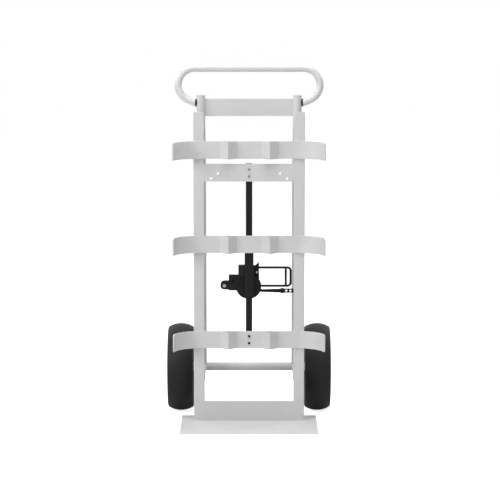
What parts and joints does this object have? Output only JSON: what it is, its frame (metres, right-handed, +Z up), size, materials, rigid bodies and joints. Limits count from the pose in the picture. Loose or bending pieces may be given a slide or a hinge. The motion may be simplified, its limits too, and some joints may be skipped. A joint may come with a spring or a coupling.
{
  "type": "gas cylinder trolley",
  "caption": "Upright hand trolley for side-by-side gas cylinders, with a flat toe plate, curved cradles, wide rubber wheels, a folding bail handle and a sliding ratchet tensioner.",
  "frame": {"origin": "on the floor under the toe plate, midway between the wheels, in the plane of the uprights' front faces", "axes": "+Z up, +X to the right seen from the toe plate, +Y back towards the wheels"},
  "size_m": [0.72, 0.7189, 1.548],
  "materials": {
    "frame_paint": "light grey satin paint",
    "handle_paint": "near-white satin paint",
    "rim_paint": "light grey satin paint",
    "black_steel": "black coated steel",
    "zinc_steel": "zinc-plated",
    "tyre_rubber": "dark grey rubber",
    "cap_plastic": "grey moulded plastic",
    "bush_plastic": "black moulded plastic",
    "knob_plastic": "black moulded plastic"
  },
  "bodies": {
    "frame": {"toe_plate": "frame_paint", "left_upright": "frame_paint", "right_upright": "frame_paint", "upright_caps": "cap_plastic", "lower_cross_plate": "frame_paint", "upper_cross_plate": "frame_paint", "top_crossbar": "frame_paint", "left_rear_tube": "frame_paint", "right_rear_tube": "frame_paint", "post_caps": "cap_plastic", "left_strut": "frame_paint", "right_strut": "frame_paint", "axle_tube": "frame_paint", "axle_shaft": "zinc_steel", "axle_washers": "zinc_steel", "axle_nuts": "zinc_steel", "bottom_cradle": "frame_paint", "middle_cradle": "frame_paint", "top_cradle": "frame_paint", "bottom_dividers": "frame_paint", "middle_dividers": "frame_paint", "top_dividers": "frame_paint", "slide_bar": "black_steel", "bar_spacer": "black_steel", "upper_bar_screws": "zinc_steel", "lower_bar_screws": "black_steel", "handle_bushes": "bush_plastic"},
    "handle": {"handle_tube": "handle_paint", "handle_pins": "zinc_steel"},
    "left_wheel": {"left_tyre": "tyre_rubber", "left_rim_inner": "rim_paint", "left_rim_outer": "rim_paint", "left_hub": "black_steel", "left_bearings": "zinc_steel", "left_rim_bolts": "zinc_steel"},
    "right_wheel": {"right_tyre": "tyre_rubber", "right_rim_inner": "rim_paint", "right_rim_outer": "rim_paint", "right_hub": "black_steel", "right_bearings": "zinc_steel", "right_rim_bolts": "zinc_steel"},
    "carriage": {"carriage_sleeve": "black_steel", "stop_block": "black_steel", "front_cheek": "black_steel", "rear_cheek": "black_steel", "cheek_posts": "black_steel", "hold_pawl_pin": "black_steel", "anchor_bolt": "zinc_steel", "hook_arm": "black_steel", "hook_strap": "black_steel"},
    "clamp_knob": {"clamp_knob": "knob_plastic"},
    "anchor_roller": {"anchor_roller": "black_steel"},
    "ratchet": {"ratchet_wheel": "black_steel", "ratchet_shaft": "zinc_steel", "winding_drum": "black_steel"},
    "lever": {"lever_plate": "black_steel", "lever_loop": "black_steel", "drive_pawl_bolt": "zinc_steel"},
    "drive_pawl": {"drive_pawl": "black_steel"},
    "hold_pawl": {"hold_pawl": "black_steel"}
  },
  "joints": [
    {"name": "left_wheel_spin", "type": "hinge", "parent": "frame", "child": "left_wheel", "pos_m": [-0.303, 0.285, 0.194], "axis": [1, 0, 0], "continuous": true},
    {"name": "right_wheel_spin", "type": "hinge", "parent": "frame", "child": "right_wheel", "pos_m": [0.303, 0.285, 0.194], "axis": [1, 0, 0], "continuous": true},
    {"name": "handle_swing", "type": "hinge", "parent": "frame", "child": "handle", "pos_m": [0, 0.049, 1.385], "axis": [-1, 0, 0], "range_deg": [0, 90]},
    {"name": "carriage_slide", "type": "slide", "parent": "frame", "child": "carriage", "axis": [0, 0, 1], "range_m": [-0.14, 0.285]},
    {"name": "clamp_knob_turn", "type": "hinge", "parent": "carriage", "child": "clamp_knob", "pos_m": [0, 0.045, 0.734], "axis": [0, 1, 0], "range_deg": [0, 270]},
    {"name": "ratchet_spin", "type": "hinge", "parent": "carriage", "child": "ratchet", "pos_m": [-0.002, 0.048, 0.591], "axis": [0, 1, 0], "continuous": true},
    {"name": "lever_swing", "type": "hinge", "parent": "carriage", "child": "lever", "pos_m": [-0.002, 0.057, 0.591], "axis": [0, -1, 0], "range_deg": [0, 30]},
    {"name": "drive_pawl_lift", "type": "hinge", "parent": "lever", "child": "drive_pawl", "pos_m": [0.03404, 0.048, 0.65218], "axis": [0, -1, 0], "range_deg": [0, 20], "stiffness_Nm_per_rad": 0.2},
    {"name": "hold_pawl_lift", "type": "hinge", "parent": "carriage", "child": "hold_pawl", "pos_m": [-0.07, 0.048, 0.615], "axis": [0, -1, 0], "range_deg": [0, 20], "stiffness_Nm_per_rad": 0.2},
    {"name": "anchor_roller_spin", "type": "hinge", "parent": "carriage", "child": "anchor_roller", "pos_m": [-0.107, 0.061, 0.594], "axis": [0, 1, 0], "continuous": true}
  ]
}
